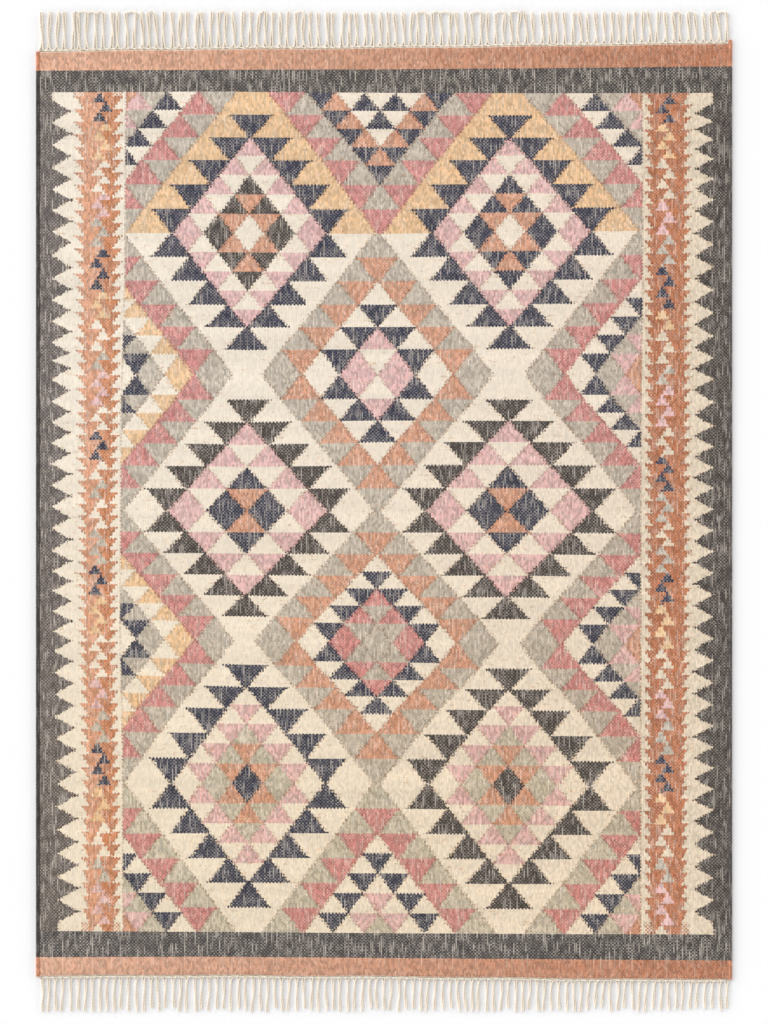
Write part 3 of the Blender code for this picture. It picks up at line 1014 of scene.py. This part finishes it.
def tapestry_field():
    """Slit tapestry in wool: medallions of stepped triangles, with slits at the steps."""
    material, tree = new_material("slit tapestry in wool, field")
    n = partial(add_node, tree)
    spun = threads(tree)
    stray = ragged_edge(tree, spun, EDGE_LOOPS, EDGE_RAGGEDNESS)
    step = n("Math", [spun.in_step, -EDGE_STEP / MEAN_UNIT], operation="MULTIPLY")
    bump = n("Math", [spun.in_pick, ROW_BUMP / MEAN_ROW], operation="MULTIPLY")
    step = n("CombineXYZ", [n("Math", [step, stray], operation="ADD"), bump, 0.0])
    kinds = []
    for name in ("small_medallion", "large_medallion"):
        raw = n("Attribute", attribute_name=name, output="Vector")
        stepped = n("VectorMath", [raw, step], operation="ADD")
        kinds.append(n("VectorMath", [stepped], operation="ABSOLUTE"))
    small, large = kinds
    small_reach = n("Math", [n("SeparateXYZ", [small], output="X"), n("SeparateXYZ", [small], output="Y")],
                    operation="ADD")
    is_large = n("Math", [small_reach, SMALL_REACH], operation="GREATER_THAN")
    medallion = n("Mix", [is_large, small, large], data_type="VECTOR")
    across = n("SeparateXYZ", [medallion], output="X")
    down = n("SeparateXYZ", [medallion], output="Y")
    colouring = n("SeparateXYZ", [medallion], output="Z")

    # Which ring, and whether the point is in one of its inner wool's triangles
    reach = n("Math", [across, down], operation="ADD")
    inside = n("Math", [reach, 4.0], operation="LESS_THAN")
    is_hourglass = n("Math", [colouring, FIRST_HOURGLASS - 0.5], operation="GREATER_THAN")
    inner_rows = n("Math", [5.0, is_hourglass], operation="SUBTRACT")
    scale = n("Mix", [inside, 1.0, n("Math", [inner_rows, 4.0], operation="DIVIDE")], data_type="FLOAT")
    left_over = n("Math", [inner_rows, n("Math", [reach, scale], operation="MULTIPLY")], operation="SUBTRACT")
    ring = n("Math", [n("Math", [left_over, 2.0], operation="DIVIDE")], operation="CEIL")
    ring = n("Math", [ring, inside], operation="MULTIPLY")
    inner_base = n("Math", [inner_rows, n("Math", [ring, 2.0], operation="MULTIPLY")], operation="SUBTRACT")
    base = n("Mix", [inside, 4.0, inner_base], data_type="FLOAT")
    row = n("Math", [down, scale], operation="MULTIPLY")
    whole = n("Math", [row], operation="FLOOR")
    part = n("Math", [row], operation="FRACT")
    side = n("Math", [n("Math", [across, scale], operation="MULTIPLY"), base], operation="SUBTRACT")
    side = n("Math", [side, whole], operation="ADD")
    edge = n("Math", [n("Math", [side], operation="ABSOLUTE"), part], operation="SUBTRACT")
    wider = n("Mix", [inside, WIDER_FIRST, WIDER_INSIDE], data_type="FLOAT")
    edge = n("Math", [edge, wider], operation="SUBTRACT")
    # Past the ring's last row of triangles there is only its outer wool, up to the tip
    past = n("Math", [n("Math", [whole, base], operation="SUBTRACT"), 0.0], operation="MAXIMUM")
    edge = n("Math", [edge, past], operation="ADD")

    # A triangle's base runs on past its corner as a spur, more on some than on others
    which = n("CombineXYZ", [whole, n("Math", [side], operation="SIGN"), colouring])
    spur = n("Math", [n("TexWhiteNoise", [which], noise_dimensions="3D"), SPUR], operation="MULTIPLY")
    spur = n("Math", [spur, n("MapRange", [part, 0.90, 0.96, 0.0, 1.0])], operation="MULTIPLY")
    is_inner = n("Math", [edge, spur], operation="LESS_THAN")

    share = n("Math", [n("Math", [colouring, 0.5], operation="ADD"), len(COLOURINGS)], operation="DIVIDE")
    wools = []
    for role in (0, 1):
        color = None
        for ring_number, names in enumerate(role_wools(role).values()):
            ramp = wool_ramp(tree, share, names)
            if color is None:
                color = ramp
                continue
            further_in = n("Math", [ring, ring_number - 0.5], operation="GREATER_THAN")
            color = n("Mix", [further_in, color, ramp], data_type="RGBA")
        wools.append(color)
    wool = n("Mix", [is_inner, *wools], data_type="RGBA")
    to_right = n("SeparateXYZ", [spun.place], output="X")
    to_right = n("MapRange", [to_right, FIELD_EDGES[0].left * MM, FIELD_EDGES[0].right * MM, 0.0, 1.0])
    dulled = n("VectorMath", [wool, DULLED_FIELD], operation="MULTIPLY")
    wool = n("Mix", [to_right, wool, dulled], data_type="RGBA")

    # The cream of the side borders, looped into the field's two sides
    inwards = n("Attribute", attribute_name="field_side", output="Fac")
    looped_in = n("Math", [n("Math", [spun.in_pick, 0.0], operation="GREATER_THAN"), SIDE_LOOP], operation="MULTIPLY")
    further = n("Math", [n("TexWhiteNoise", [spun.along_pick], noise_dimensions="3D"), SIDE_RAGGEDNESS],
                operation="MULTIPLY")
    looped_in = n("Math", [looped_in, further], operation="ADD")
    is_border = n("Math", [inwards, looped_in], operation="LESS_THAN")
    border_cream = n("Mix", [to_right, linear(WOOLS["cream"]), linear(WOOLS["beige"])], data_type="RGBA")
    wool = n("Mix", [is_border, wool, border_cream], data_type="RGBA")

    # Slits lie where two wools meet, at every one of these lines, and carry painted shade
    side_line = n("Math", [n("Math", [inwards, looped_in], operation="SUBTRACT"), 0.6 * MEAN_UNIT],
                  operation="DIVIDE")
    ring_line = n("Mix", [inside, 1.0, n("Math", [left_over, 1.0], operation="PINGPONG")], data_type="FLOAT")
    lines = [ring_line]
    for line in (edge, side_line, n("Math", [reach, 4.0], operation="SUBTRACT"),
                 n("Math", [small_reach, SMALL_REACH], operation="SUBTRACT")):
        lines.append(n("Math", [line], operation="ABSOLUTE"))
    slit = slit_shade_line(tree, spun, lines)
    # A spur gets painted slit shade too, and a sunken relief
    on_spur = n("Math", [is_inner, n("Math", [edge, 0.0], operation="GREATER_THAN")], operation="MULTIPLY")
    slit = n("Math", [slit, n("Math", [on_spur, SPUR_SHADE_AND_DEPTH], operation="MULTIPLY")], operation="MAXIMUM")
    weave(tree, spun, wool, slit, FIELD_SHOWING, yellows=1.0)
    return material


def side_border(border):
    """The side border in wool: charcoal teeth in cream, and a rust spine with a chain."""
    place = "left" if border.side < 0 else "right"
    material, tree = new_material("slit tapestry in wool, " + place + " border")
    n = partial(add_node, tree)
    spun = threads(tree)
    line = border.lines[len(border.lines) // 2]
    step = n("Math", [spun.in_step, border.side * EDGE_STEP / MM], operation="MULTIPLY")
    rates = (1.0 / (line.charcoal_tip - line.cream_tip), 1.0 / (line.rust_root - line.rust_tip),
             -1.0 / (line.inner_tip - line.inner_root))
    steps = n("VectorMath", [rates, step], operation="SCALE")
    reach = n("VectorMath", [n("Attribute", attribute_name="border_reach", output="Vector"), steps],
              operation="ADD")
    bumps = (ROW_BUMP / MEAN_TOOTH, ROW_BUMP / MEAN_SPINE_TOOTH, ROW_BUMP / CHAIN_BASE)
    bumps = n("VectorMath", [bumps, spun.in_pick], operation="SCALE")
    count = n("VectorMath", [n("Attribute", attribute_name="border_count", output="Vector"), bumps],
              operation="ADD")
    teeth_in, spine_out, spine_in = (n("SeparateXYZ", [reach], output=axis) for axis in "XYZ")
    teeth, spine, chain = (n("SeparateXYZ", [count], output=axis) for axis in "XYZ")
    stray = ragged_edge(tree, spun, EDGE_LOOPS, EDGE_RAGGEDNESS)

    # Charcoal teeth, each blunt, with a thin spur at its tip
    middle = n("Math", [n("Math", [teeth], operation="FRACT"), 0.5], operation="SUBTRACT")
    middle = n("Math", [n("Math", [middle], operation="ABSOLUTE"), 2.0], operation="MULTIPLY")
    own = n("CombineXYZ", [n("Math", [teeth], operation="FLOOR"), 0.5, border.side])
    spur = n("MapRange", [n("TexWhiteNoise", [own], noise_dimensions="3D"), 0.0, 1.0, 0.4, 1.0])
    spur = n("Math", [spur, n("Math", [middle, TOOTH_SPUR_HALF], operation="LESS_THAN")], operation="MULTIPLY")
    spur = n("Math", [spur, TOOTH_SPUR], operation="MULTIPLY")
    body = n("Math", [n("Math", [1.0, middle], operation="SUBTRACT"), border.bluntness], operation="MULTIPLY")
    tooth = n("Math", [n("Math", [body, 1.0], operation="MINIMUM"), spur], operation="ADD")
    tooth_edge = n("Math", [n("Math", [teeth_in, tooth], operation="SUBTRACT"), stray], operation="ADD")
    is_charcoal = n("Math", [tooth_edge, 0.0], operation="LESS_THAN")

    # The rust spine, toothed on both sides, each tooth flat at its far side
    part = n("Math", [spine], operation="FRACT")
    blunt_out = n("Math", [spine_out, n("Math", [spine_out, FINGER_POWER], operation="POWER")],
                  operation="MINIMUM")
    least = n("Math", [blunt_out, spine_in], operation="MINIMUM")
    spine_stray = n("Math", [stray, 0.8], operation="MULTIPLY")
    spine_edge = n("Math", [n("Math", [part, least], operation="SUBTRACT"), spine_stray], operation="ADD")
    is_rust = n("Math", [spine_edge, 0.0], operation="LESS_THAN")

    # The chain of small triangles on the spine, left and right of its line by turns
    chain_line = n("Attribute", attribute_name="chain_line", output="Fac")
    chain_line = n("Math", [n("Math", [chain_line, 1.0 / MM], operation="MULTIPLY"), step], operation="ADD")
    turn = n("Math", [n("Math", [chain], operation="FLOOR"), 0.5], operation="MULTIPLY")
    turn = n("Math", [n("Math", [turn], operation="FRACT"), 0.25], operation="SUBTRACT")
    off_line = n("Math", [turn, 4.0 * CHAIN_SWING / MM], operation="MULTIPLY")
    off_line = n("Math", [n("Math", [chain_line, off_line], operation="SUBTRACT")], operation="ABSOLUTE")
    half = n("Math", [n("Math", [chain], operation="FRACT"), 0.5 * CHAIN_BASE / MM], operation="MULTIPLY")
    half = n("Math", [half, n("Math", [stray, 0.15 * MEAN_UNIT / MM], operation="MULTIPLY")], operation="ADD")
    half = n("Math", [half, 1.0], operation="ADD")
    is_chain = n("Math", [off_line, half], operation="LESS_THAN")
    triangles = [wool for wool, count, length in border.chain for triangle in range(count)]
    chain_wool = wool_ramp(tree, n("Math", [chain, len(triangles)], operation="DIVIDE"), triangles)

    is_inside = n("MapRange", [chain_line, -2.0, 6.0, 0.0, 1.0])
    rust = n("Mix", [is_inside, linear(border.wools.rust), linear(border.wools.inner_rust)], data_type="RGBA")
    wool = n("Mix", [is_rust, linear(border.wools.cream), rust], data_type="RGBA")
    wool = n("Mix", [n("Math", [is_chain, is_rust], operation="MULTIPLY"), wool, chain_wool], data_type="RGBA")
    wool = n("Mix", [is_charcoal, wool, linear(border.wools.charcoal)], data_type="RGBA")
    lines = [n("Math", [distance], operation="ABSOLUTE") for distance in (tooth_edge, spine_edge)]
    # Painted shade in the slits along the teeth and the spine, and on the charcoal spurs, with a sunken relief
    slit = slit_shade_line(tree, spun, lines)
    on_spur = n("Math", [is_charcoal, n("Math", [teeth_in, 1.02], operation="GREATER_THAN")], operation="MULTIPLY")
    slit = n("Math", [slit, n("Math", [on_spur, SPUR_SHADE_AND_DEPTH], operation="MULTIPLY")], operation="MAXIMUM")
    weave(tree, spun, wool, slit, border.showing, yellows=border.yellows)
    return material


def plain_wool(name, left, right, showing):
    """Plain weft-faced wool, as in the end bands and round the selvedges."""
    material, tree = new_material(name)
    n = partial(add_node, tree)
    spun = threads(tree)
    across = n("SeparateXYZ", [spun.place], output="X")
    share = n("MapRange", [across, -0.5 * RUG_WIDTH, 0.5 * RUG_WIDTH, 0.0, 1.0])
    wool = n("Mix", [share, linear(left), linear(right)], data_type="RGBA")
    weave(tree, spun, wool, 0.0, showing)
    return material


def cotton_yarn():
    """Undyed two-ply cotton: matte, cream on the plies, with a painted tan shade in the grooves where they meet."""
    material, tree = new_material("undyed two-ply cotton yarn")
    n = partial(add_node, tree)
    place = n("TexCoord", output="Object")
    groove = n("Attribute", attribute_name="groove", output="Fac")
    scaled = n("VectorMath", [place, (1.0 / FIBRE_WIDTH, 1.0 / FIBRE_LENGTH, 1.0 / FIBRE_WIDTH)],
               operation="MULTIPLY")
    fibres = n("TexNoise", {"Vector": scaled, "Scale": 1.0, "Detail": 2.0})
    # Painted shade: tan in the grooves between the plies, broken up by the fibres
    tan_groove_shade = n("MapRange", [n("Math", [groove, fibres], operation="ADD"), 0.45, 1.5, 0.0, 1.0])
    color = n("Mix", [tan_groove_shade, linear(COTTON_PLY), linear(COTTON_GROOVE_SHADE)], data_type="RGBA")
    bump = n("Bump", {"Strength": 0.6, "Distance": 0.4 * MM, "Height": fibres})
    surface = n("BsdfPrincipled", {
        "Base Color": color, "Roughness": 0.9, "Specular IOR Level": 0.25,
        "Sheen Weight": 0.1, "Sheen Roughness": 0.6, "Normal": bump})
    n("OutputMaterial", {"Surface": surface})
    return material


def painted_floor():
    """A smooth painted studio floor, near white."""
    material, tree = new_material("painted studio floor")
    n = partial(add_node, tree)
    surface = n("BsdfPrincipled", {"Base Color": linear(FLOOR_COLOR), "Roughness": 0.8})
    n("OutputMaterial", {"Surface": surface})
    return material


def set_floor():
    bpy.ops.mesh.primitive_plane_add(size=FLOOR_SIZE, location=(0.0, 0.0, -FLOOR_DROP))
    floor = bpy.context.active_object
    bpy.ops.object.transform_apply(location=True)
    floor.name = "studio_floor"
    floor.data.materials.append(painted_floor())


def set_camera():
    """Straight above the rug, through a long lens."""
    data = bpy.data.cameras.new("camera")
    data.lens = LENS
    data.sensor_width = SENSOR
    camera = bpy.data.objects.new("camera", data)
    height = FRAME_HEIGHT * PIXEL * LENS / SENSOR
    camera.location = (*VIEW_MIDDLE, height)
    bpy.context.collection.objects.link(camera)
    bpy.context.scene.camera = camera


def add_light(name, energy, softness, turn):
    """A far light: how strong, how many degrees wide, and how it is turned from straight down."""
    data = bpy.data.lights.new(name, "SUN")
    data.energy = energy
    data.angle = math.radians(softness)
    light = bpy.data.objects.new(name, data)
    light.rotation_euler = [math.radians(angle) for angle in turn]
    bpy.context.collection.objects.link(light)


def set_light():
    """A soft key light from the upper left, low lights all round, and an even white surround."""
    add_light("key", KEY_ENERGY, KEY_SOFTNESS, KEY_TURN)
    for number in range(LOW_LIGHTS):
        side = 360.0 * number / LOW_LIGHTS
        stronger = 1.0 + STRONGER_SHARE * math.cos(math.radians(side - STRONGER_SIDE))
        turn = (90.0 - LOW_ELEVATION, 0.0, side)
        add_light("low light", LOW_ENERGY * stronger, LOW_SOFTNESS, turn)
    world = bpy.data.worlds.new("studio")
    world.use_nodes = True
    background = world.node_tree.nodes["Background"]
    background.inputs["Color"].default_value = linear(SURROUND_COLOR)
    background.inputs["Strength"].default_value = SURROUND_STRENGTH
    bpy.context.scene.world = world
    bpy.context.scene.view_settings.view_transform = "Standard"


set_camera()
set_light()
set_floor()

cotton = cotton_yarn()
finishes = {
    "end": cotton,
    "field": tapestry_field(),
    "left border": side_border(LEFT_BORDER),
    "right border": side_border(RIGHT_BORDER),
    "charcoal": plain_wool("weft-faced wool, charcoal", LEFT_BAND_CHARCOAL, RIGHT_BAND_CHARCOAL, 1.0),
    "rust": plain_wool("weft-faced wool, rust", LEFT_BAND_RUST, RIGHT_BAND_RUST, 0.5),
    "left selvedge": plain_wool("wrapped wool selvedge, left", LEFT_SELVEDGE, LEFT_SELVEDGE, 0.3),
    "right selvedge": plain_wool("wrapped wool selvedge, right", RIGHT_SELVEDGE, RIGHT_SELVEDGE, 0.5),
    "rust selvedge": plain_wool("wrapped wool selvedge, rust", RUST_SELVEDGE, RUST_SELVEDGE, 0.2),
}
cloth = build_cloth(finishes)
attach(cloth, "root")
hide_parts("woven_cloth")

for fringe in FRINGES:
    for piece in (build_heading(fringe), build_fringe(fringe)):
        piece.data.materials.append(cotton)
        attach(piece, "root")
        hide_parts(fringe.name)
